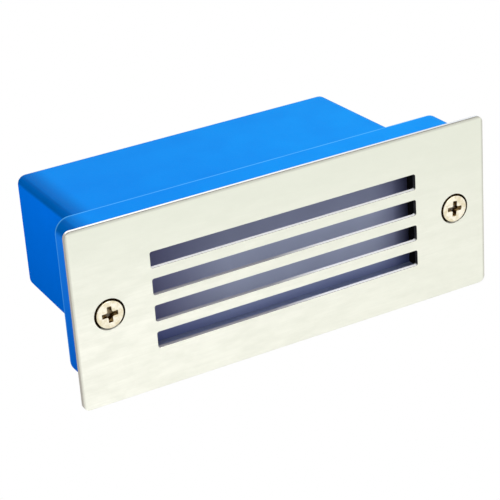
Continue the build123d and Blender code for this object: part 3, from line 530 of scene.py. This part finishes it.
TAPE_RADIUS = ((COIL_RADIUS + 0.02) * MM, (COIL_RADIUS + 0.06) * MM)


def ferrite():
    """Dark pressed ferrite, with yellow tape round the coil between its legs."""
    n = Nodes("ferrite")
    mottle = n.noise(240.0, 3.0, 0.6)
    shade = n.speckle(mottle, linear(46, 46, 50), linear(66, 66, 70))
    off = n.math("SUBTRACT", n.axis(n.coord, "X"), TRANSFORMER_X * MM)
    up = n.math("SUBTRACT", n.axis(n.coord, "Z"), BOX_Z * MM)
    wound = n.ramp(n.distance(off, up), *TAPE_RADIUS, 1.0, 0.0)
    front = n.math("ABSOLUTE", n.normal_axis("Y"))
    tape = n.math("MULTIPLY", wound, n.ramp(front, 0.4, 0.6, 1.0, 0.0))
    shade = n.mix(tape, shade, n.speckle(mottle, linear(222, 178, 40), linear(240, 200, 66)))
    normal = n.bump(n.noise(1500.0, 3.0, 0.6), 0.06 * MM, 0.5)
    return n.set(Base_Color=shade, Roughness=n.ramp(tape, 0.0, 1.0, 0.7, 0.3), Normal=normal)


PHOSPHOR_RADIUS = (1.78 * MM, 1.84 * MM)


def led_body():
    """White LED packages with a yellow phosphor disc in the middle of each."""
    n = Nodes("led_phosphor")
    half_x, half_z = (pitch / 2 * MM for pitch in LED_PITCH)
    off = n.math("SUBTRACT", half_x, n.math("PINGPONG", n.axis(n.coord, "X"), half_x))
    up = n.math("SUBTRACT", half_z, n.math("PINGPONG", n.axis(n.coord, "Z"), half_z))
    mottle = n.noise(900.0, 3.0, 0.6)
    phosphor = n.speckle(mottle, linear(236, 206, 92), linear(250, 226, 128))
    package = n.speckle(mottle, linear(232, 231, 224), linear(246, 246, 240))
    disc = n.ramp(n.distance(off, up), *PHOSPHOR_RADIUS, 1.0, 0.0)
    shade = n.mix(disc, package, phosphor)
    normal = n.bump(mottle, 0.02 * MM, 0.4)
    return n.set(Base_Color=shade, Roughness=n.ramp(mottle, *NOISE_SPAN, 0.3, 0.42), Normal=normal)


CAN_TOP = (51.2 * MM, 51.3 * MM)


def capacitor_can():
    """Dark blue printed sleeve that is open over the bare aluminium top."""
    n = Nodes("capacitor_can")
    mottle = n.noise(300.0, 3.0, 0.6)
    shade = n.speckle(mottle, linear(30, 33, 66), linear(44, 48, 84))
    near_top = n.ramp(n.axis(n.coord, "Y"), *CAN_TOP, 1.0, 0.0)
    top = n.math("MULTIPLY", near_top, n.ramp(n.normal_axis("Y"), -0.8, -0.6, 1.0, 0.0))
    shade = n.mix(top, shade, linear(206, 208, 212))
    normal = n.bump(n.noise(2000.0, 3.0, 0.6), 0.02 * MM, 0.4)
    return n.set(Base_Color=shade, Metallic=n.ramp(top, 0.0, 1.0, 0.0, 0.9),
                 Roughness=n.ramp(mottle, *NOISE_SPAN, 0.28, 0.4), Normal=normal)


finishes = {
    "fascia_steel": brushed_steel(),
    "screw_plate": screw_metal(),
    "box_plastic": box_plastic("box_plastic"),
    "gasket_foam": foam(),
    "brass": plated("brass", linear(214, 178, 110), 0.3),
    "grommet_rubber": moulded("grommet_rubber", linear(34, 34, 35), 0.7, 1800.0),
    "bezel_plastic": bezel_plastic(),
    "zinc_steel": plated("zinc_steel", linear(205, 208, 214), 0.28),
    "diffuser_plastic": frosted(),
    "seal_rubber": moulded("seal_rubber", linear(40, 40, 42), 0.8, 1500.0),
    "reflector_plastic": moulded("reflector_plastic", linear(240, 240, 238), 0.3, 900.0),
    "board_white": circuit_board("board_white", linear(236, 237, 232), linear(214, 216, 210)),
    "led_phosphor": led_body(),
    "connector_plastic": moulded("connector_plastic", linear(236, 231, 216), 0.45),
    "case_plastic": moulded("case_plastic", linear(222, 223, 221), 0.5, 1600.0, 0.05 * MM),
    "board_green": circuit_board("board_green", linear(24, 98, 62), linear(60, 140, 92)),
    "ferrite": ferrite(),
    "capacitor_can": capacitor_can(),
    "terminal_plastic": moulded("terminal_plastic", linear(238, 235, 224), 0.42),
    "lead_brown": moulded("lead_brown", linear(112, 66, 38), 0.35),
    "lead_blue": moulded("lead_blue", linear(40, 92, 178), 0.35),
    "lead_red": moulded("lead_red", linear(184, 34, 32), 0.35),
    "lead_black": moulded("lead_black", linear(30, 30, 32), 0.35),
}

flange_finish = box_plastic("box_flange", rim=True)
slot_of = {part["node"]: part["material_slot"] for part in frame["record"]["subparts"]}
SMOOTH_ANGLE = math.radians(32)
for name, node in nodes.items():
    finish = flange_finish if name == "recess_flange" else finishes[slot_of[name]]
    node.data.materials.clear()
    node.data.materials.append(finish)
    node.data.shade_smooth()
    node.data.set_sharp_from_angle(angle=SMOOTH_ANGLE)


# ---- Mesh helpers ----


def new_piece(name, mesh, body, slot):
    """Object from a finished bmesh that rides on a body and takes a slot's finish."""
    data = bpy.data.meshes.new(name)
    bmesh.ops.recalc_face_normals(mesh, faces=mesh.faces)
    mesh.to_mesh(data)
    mesh.free()
    piece = bpy.data.objects.new(name, data)
    bpy.context.scene.collection.objects.link(piece)
    data.materials.append(finishes[slot])
    data.shade_smooth()
    data.set_sharp_from_angle(angle=SMOOTH_ANGLE)
    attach(piece, body)
    return piece


def lathe(mesh, profile, centre, sides=96):
    """Closed rings about the line into the wall through (x, z), all in mm. A profile point is
    (radius, depth), where the radius may be a function of the angle round the line."""
    x, z = centre
    rings = []
    for radius, depth in profile:
        if radius == 0:
            rings.append([mesh.verts.new((x * MM, depth * MM, z * MM))])
            continue
        ring = []
        for k in range(sides):
            angle = math.tau * k / sides
            reach = radius(angle) if callable(radius) else radius
            place = (x + reach * math.cos(angle), depth, z + reach * math.sin(angle))
            ring.append(mesh.verts.new([value * MM for value in place]))
        rings.append(ring)
    for a, b in zip(rings, rings[1:]):
        for k in range(sides):
            near, far = k, (k + 1) % sides
            if len(a) == 1:
                mesh.faces.new((a[0], b[near], b[far]))
            elif len(b) == 1:
                mesh.faces.new((a[near], b[0], a[far]))
            else:
                mesh.faces.new((a[near], b[near], b[far], a[far]))


# ---- Fascia screws: recessed heads with threaded shanks ----

THREAD_STEPS = 6
CREST_SHARE = 0.3
FASCIA_SCREW_SIDES = 64
HEAD_ROUND_STEPS = 4
PLAIN_NECK = 1.0
TIP_CHAMFER = 0.4

# The cross recess: its cut corners, where its arms meet, and (depth, share of the full span)
TIP_CUT = 0.12
INNER_CUT = 0.25
RECESS_INNER = 0.75
RECESS_LAYERS = ((-0.3, 1.06), (0.0, 1.0), (RECESS_DEPTH * 0.55, 0.82), (RECESS_DEPTH, 0.5))


def turned(x, z, angle):
    """A point turned about the origin of the (x, z) plane."""
    return (x * math.cos(angle) - z * math.sin(angle), x * math.sin(angle) + z * math.cos(angle))


def wing_outline(half_span, half_arm, inner):
    """Cross of four arms with cut corners, as (x, z) in mm."""
    arm = [
        (half_arm, inner + INNER_CUT), (half_arm, half_span - TIP_CUT),
        (half_arm - TIP_CUT, half_span), (-half_arm + TIP_CUT, half_span),
        (-half_arm, half_span - TIP_CUT), (-half_arm, inner + INNER_CUT),
    ]
    return [turned(x, z, math.pi / 2 * quarter) for quarter in range(4) for x, z in arm]


def recess_cutter(x, turn):
    """Tapered cross, wide at the head's face and drawing in to its floor."""
    mesh = bmesh.new()
    layers = []
    for depth, scale in RECESS_LAYERS:
        half_arm = RECESS_ARM / 2 * (0.55 + 0.45 * scale)
        outline = wing_outline(RECESS_SPAN / 2 * scale, half_arm, RECESS_INNER * scale)
        ring = []
        for px, pz in outline:
            rx, rz = turned(px, pz, turn)
            ring.append(mesh.verts.new(((x + rx) * MM, (HEAD_FRONT + depth) * MM, rz * MM)))
        layers.append(ring)
    count = len(layers[0])
    for a, b in zip(layers, layers[1:]):
        for k in range(count):
            mesh.faces.new((a[k], a[(k + 1) % count], b[(k + 1) % count], b[k]))
    mesh.faces.new(layers[0])
    mesh.faces.new(reversed(layers[-1]))
    bmesh.ops.recalc_face_normals(mesh, faces=mesh.faces)
    data = bpy.data.meshes.new("recess_cutter")
    mesh.to_mesh(data)
    mesh.free()
    cutter = bpy.data.objects.new("recess_cutter", data)
    bpy.context.scene.collection.objects.link(cutter)
    return cutter


def thread_rows(seat, tip, shank, groove, pitch):
    """Profile rows of a helical thread that fades in at the seat and out at the tip."""
    into = math.copysign(1.0, tip - seat)
    length = abs(tip - seat)
    root = shank - groove
    steps = int(length / pitch * THREAD_STEPS)
    rows = []
    for k in range(1, steps):
        along = length * k / steps
        fade = min(1.0, along / pitch, (length - along) / pitch)

        def radius(angle, along=along, fade=fade):
            phase = (along / pitch - angle / math.tau) % 1.0
            return root + groove * fade * max(0.0, 1.0 - abs(phase - 0.5) / CREST_SHARE)

        rows.append((radius, seat + into * along))
    return rows


def fascia_screw(name, node, body, x, turn):
    """Countersunk head with a tapered cross recess, and a threaded shank below it."""
    mesh = bmesh.new()
    neck = HEAD_FRONT + HEAD_EDGE + HEAD_RADIUS - SHANK_RADIUS
    flat = HEAD_RADIUS - HEAD_ROUND
    profile = [(0, HEAD_FRONT), (HEAD_RADIUS * 0.5, HEAD_FRONT), (flat, HEAD_FRONT)]
    for k in range(1, HEAD_ROUND_STEPS + 1):
        angle = math.pi / 2 * k / HEAD_ROUND_STEPS
        profile.append((
            flat + HEAD_ROUND * math.sin(angle),
            HEAD_FRONT + HEAD_ROUND - HEAD_ROUND * math.cos(angle),
        ))
    profile += [(HEAD_RADIUS, HEAD_FRONT + HEAD_EDGE), (SHANK_RADIUS, neck),
                (SHANK_RADIUS, neck + PLAIN_NECK)]
    root = SHANK_RADIUS - THREAD_DEPTH
    thread_start = neck + PLAIN_NECK + THREAD_DEPTH
    thread_end = SCREW_TIP - TIP_CHAMFER
    profile.append((root, thread_start))
    profile += thread_rows(thread_start, thread_end, SHANK_RADIUS, THREAD_DEPTH, THREAD_PITCH)
    profile += [(root, thread_end), (root - TIP_CHAMFER, SCREW_TIP), (0, SCREW_TIP)]
    lathe(mesh, profile, (x, 0.0), FASCIA_SCREW_SIDES)
    screw = new_piece(name, mesh, body, "screw_plate")
    cutter = recess_cutter(x, turn)
    cut = screw.modifiers.new("recess", "BOOLEAN")
    cut.operation = "DIFFERENCE"
    cut.solver = "EXACT"
    cut.object = cutter
    bpy.context.view_layer.update()
    depsgraph = bpy.context.evaluated_depsgraph_get()
    carved = bpy.data.meshes.new_from_object(screw.evaluated_get(depsgraph))
    screw.modifiers.clear()
    screw.data = carved
    bpy.data.objects.remove(cutter)
    carved.shade_smooth()
    carved.set_sharp_from_angle(angle=SMOOTH_ANGLE)
    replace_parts(screw, node)


fascia_screw("left_screw_head", "fascia_screw_left", "left_screw", -SCREW_X, LEFT_TURN)
fascia_screw("right_screw_head", "fascia_screw_right", "right_screw", SCREW_X, RIGHT_TURN)

# ---- Hidden screws: chamfered hexagon heads over threaded shanks ----

HEX_SIDES = 6
SCREW_SIDES = 24
SEARCH_RADIUS = 3.4
SIGNS = (-1, 1)
BEZEL_SCREW_X = 59.0
HEAD_DISH = 0.2
HEAD_CHAMFER = 0.22
GROOVE_SHARE = 0.24
PITCH_SHARE = 0.72
# Where each CAD group's screws stand, as (x, z)
screw_groups = {
    "bezel_screws": [(BEZEL_SCREW_X * i, 15.0 * k) for i in SIGNS for k in SIGNS],
    "reflector_screws": [(53.3 * i, 8.5 * k) for i in SIGNS for k in SIGNS],
    "board_screws": [(30.0 * i, 0.0) for i in SIGNS],
    "driver_screws": [(DRIVER_X + 24.5 * i, BOX_Z - 9.0) for i in SIGNS],
    "terminal_screws": [(TERMINAL_X + 3.6 * i, BOX_Z + 5.0 * k) for i in SIGNS for k in SIGNS],
    "terminal_fixing_screw": [(TERMINAL_X, BOX_Z)],
}


def read_screw(node, place):
    """Head corner, shank radius, and the depths of face, seat and tip of one CAD screw."""
    reach = {}
    for vertex in nodes[node].data.vertices:
        radius = math.hypot(vertex.co.x / MM - place[0], vertex.co.z / MM - place[1])
        if radius < SEARCH_RADIUS:
            depth = round(vertex.co.y / MM, 2)
            reach[depth] = max(radius, reach.get(depth, 0.0))
    face, seat, tip = sorted(reach, reverse=reach[min(reach)] < reach[max(reach)])
    return reach[face], reach[tip], face, seat, tip


def polygon(corner, sides, turn=0.0):
    """Outline of a regular polygon as a radius for each angle, with a corner at the turn."""
    step = math.tau / sides
    flat = corner * math.cos(step / 2)
    return lambda angle: flat / math.cos((angle - turn) % step - step / 2)


def hex_screw(mesh, centre, corner, shank, face, seat, tip):
    """One screw: dished and chamfered hexagon head, then a shank with a helical thread."""
    into = math.copysign(1.0, tip - face)
    flat = corner * math.cos(math.pi / HEX_SIDES)
    head = abs(seat - face)
    hexagon = polygon(corner, HEX_SIDES)
    dish = face + into * head * HEAD_DISH
    profile = [
        (0, dish), (flat * 0.5, dish), (flat * 0.66, face), (flat * 0.94, face),
        (hexagon, face + into * head * HEAD_CHAMFER), (hexagon, seat),
    ]
    groove = shank * GROOVE_SHARE
    root = shank - groove
    profile.append((root, seat))
    profile += thread_rows(seat, tip, shank, groove, shank * PITCH_SHARE)
    profile += [(root * 0.6, tip), (0, tip)]
    lathe(mesh, profile, centre, SCREW_SIDES)


for group, places in screw_groups.items():
    mesh = bmesh.new()
    for place in places:
        hex_screw(mesh, place, *read_screw(group, place))
    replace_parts(new_piece(group + "_threaded", mesh, "housing", "zinc_steel"), group)

# ---- Cable grommet, LED packages and capacitors ----

ENTRY_X = 42.0
GROMMET_BORE = 3.5
GROMMET_NECK = 6.0
GROMMET_LIP = 8.0
PAD_FRONT = 65.3
DISH_FLOOR = 67.3
LIP_THICKNESS = 1.6
LIP_ROUND = 0.6
ROUND_STEPS = 5


def rounded(radius, depth, turn_radius, start, end):
    """Profile points of a quarter round, from one angle to another in quarters of a turn."""
    points = []
    for k in range(ROUND_STEPS + 1):
        angle = math.pi / 2 * (start + (end - start) * k / ROUND_STEPS)
        out, into = turn_radius * math.cos(angle), turn_radius * math.sin(angle)
        points.append((radius + out, depth + into))
    return points


lip_front = PAD_FRONT - LIP_THICKNESS
lip_rear = DISH_FLOOR + LIP_THICKNESS
edge = GROMMET_LIP - LIP_ROUND
profile = [(GROMMET_BORE, lip_front + LIP_ROUND / 2), (GROMMET_BORE + LIP_ROUND / 2, lip_front)]
profile += rounded(edge, lip_front + LIP_ROUND, LIP_ROUND, -1, 0)
profile += [
    (GROMMET_LIP, PAD_FRONT), (GROMMET_NECK, PAD_FRONT),
    (GROMMET_NECK, DISH_FLOOR), (GROMMET_LIP, DISH_FLOOR),
]
profile += rounded(edge, lip_rear - LIP_ROUND, LIP_ROUND, 0, 1)
profile += [
    (GROMMET_BORE + LIP_ROUND / 2, lip_rear), (GROMMET_BORE, lip_rear - LIP_ROUND / 2), profile[0],
]
mesh = bmesh.new()
lathe(mesh, profile, (ENTRY_X, BOX_Z))
bmesh.ops.remove_doubles(mesh, verts=mesh.verts, dist=0.001 * MM)
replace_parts(new_piece("grommet_rounded", mesh, "housing", "grommet_rubber"), "cable_grommet")

LED_COLUMNS = 6
LED_CORNER = 2.5 * math.sqrt(2)
LED_CUP = 1.95
LED_SIDES = 32

led_low, led_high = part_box("leds")
led_front, led_back = led_low.y / MM, led_high.y / MM
mesh = bmesh.new()
for column in range(LED_COLUMNS):
    for row in SIGNS:
        centre = (LED_PITCH[0] * (column - (LED_COLUMNS - 1) / 2), LED_PITCH[1] / 2 * row)
        square = polygon(LED_CORNER, 4, math.pi / 4)
        inner = polygon(LED_CORNER - 0.15, 4, math.pi / 4)
        lathe(mesh, [
            (0, led_back), (square, led_back), (square, led_front + 0.12), (inner, led_front),
            (LED_CUP, led_front), (LED_CUP - 0.15, led_front + 0.3), (1.2, led_front + 0.14),
            (0.6, led_front + 0.08), (0, led_front + 0.06),
        ], centre, LED_SIDES)
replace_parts(new_piece("led_packages", mesh, "housing", "led_phosphor"), "leds")

CAN_X = -7.0
CAN_Z = 6.0
CAN_RADIUS = 4.0
CAN_SIDES = 48
CAN_ROUND = 0.4
CRIMP = 0.3
can_low, can_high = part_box("driver_capacitors")
can_top, can_foot = can_low.y / MM, can_high.y / MM
mesh = bmesh.new()
for side in SIGNS:
    sunken = can_top + 0.15
    profile = [(0, sunken), (CAN_RADIUS - 0.8, sunken), (CAN_RADIUS - 0.7, can_top)]
    profile += rounded(CAN_RADIUS - CAN_ROUND, can_top + CAN_ROUND, CAN_ROUND, -1, 0)
    profile += [
        (CAN_RADIUS, can_foot - 2.4), (CAN_RADIUS - CRIMP, can_foot - 2.0),
        (CAN_RADIUS, can_foot - 1.6), (CAN_RADIUS, can_foot - CRIMP),
        (CAN_RADIUS - CRIMP, can_foot), (0, can_foot),
    ]
    lathe(mesh, profile, (CAN_X, BOX_Z + side * CAN_Z), CAN_SIDES)
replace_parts(new_piece("capacitor_cans", mesh, "housing", "capacitor_can"), "driver_capacitors")

# ---- Floor, light and background ----

FLOOR_Z = -0.16
FLOOR_HALF = 6.0
ROOM_LIGHT = 0.5
LIGHT_TARGET = Vector((0.0, 0.02, 0.0))
WHITE = (1.0, 1.0, 1.0, 1.0)


def make_floor():
    """Plain pale floor that shows as the picture's white."""
    mesh = bmesh.new()
    corners = ((-1, -1), (1, -1), (1, 1), (-1, 1))
    mesh.faces.new([mesh.verts.new((x * FLOOR_HALF, y * FLOOR_HALF, FLOOR_Z)) for x, y in corners])
    data = bpy.data.meshes.new("floor")
    mesh.to_mesh(data)
    mesh.free()
    floor = bpy.data.objects.new("floor", data)
    bpy.context.scene.collection.objects.link(floor)
    n = Nodes("floor_paper")
    paper = n.noise(8.0, 2.0, 0.5)
    n.set(Base_Color=n.speckle(paper, (0.84, 0.84, 0.83), (0.88, 0.88, 0.87)), Roughness=0.9)
    tree = n.tree
    output = tree.nodes["Material Output"]
    rays = n.add("ShaderNodeLightPath")
    white = n.add("ShaderNodeEmission")
    white.inputs["Color"].default_value = WHITE
    white.inputs["Strength"].default_value = 1.0
    blend = n.add("ShaderNodeMixShader")
    n.link(rays.outputs["Is Camera Ray"], blend.inputs[0])
    n.link(n.shader.outputs["BSDF"], blend.inputs[1])
    n.link(white.outputs["Emission"], blend.inputs[2])
    n.link(blend.outputs["Shader"], output.inputs["Surface"])
    data.materials.append(n.material)


def make_world():
    """White to the camera, and a soft grey studio to everything else."""
    world = bpy.data.worlds.new("studio")
    bpy.context.scene.world = world
    world.use_nodes = True
    tree = world.node_tree
    output = tree.nodes["World Output"]
    room = tree.nodes["Background"]
    room.inputs["Color"].default_value = WHITE
    room.inputs["Strength"].default_value = ROOM_LIGHT
    white = tree.nodes.new("ShaderNodeBackground")
    white.inputs["Color"].default_value = WHITE
    white.inputs["Strength"].default_value = 1.0
    rays = tree.nodes.new("ShaderNodeLightPath")
    blend = tree.nodes.new("ShaderNodeMixShader")
    tree.links.new(rays.outputs["Is Camera Ray"], blend.inputs[0])
    tree.links.new(room.outputs["Background"], blend.inputs[1])
    tree.links.new(white.outputs["Background"], blend.inputs[2])
    tree.links.new(blend.outputs["Shader"], output.inputs["Surface"])


def area_light(name, place, size, watts):
    """Soft rectangular lamp that looks at the object."""
    data = bpy.data.lights.new(name, "AREA")
    data.shape = "RECTANGLE"
    data.size, data.size_y = size
    data.energy = watts
    light = bpy.data.objects.new(name, data)
    bpy.context.scene.collection.objects.link(light)
    light.location = place
    aim = LIGHT_TARGET - Vector(place)
    light.rotation_mode = "QUATERNION"
    light.rotation_quaternion = aim.to_track_quat("-Z", "Y")


make_floor()
make_world()
area_light("overhead", (0.0, -0.34, 0.86), (1.0, 0.7), 8.4)
area_light("front_fill", (0.5, -1.0, -0.02), (1.2, 0.9), 2.7)
area_light("left_fill", (-1.0, -0.1, 0.1), (0.6, 0.6), 1.2)

bpy.context.scene.view_settings.view_transform = "Standard"
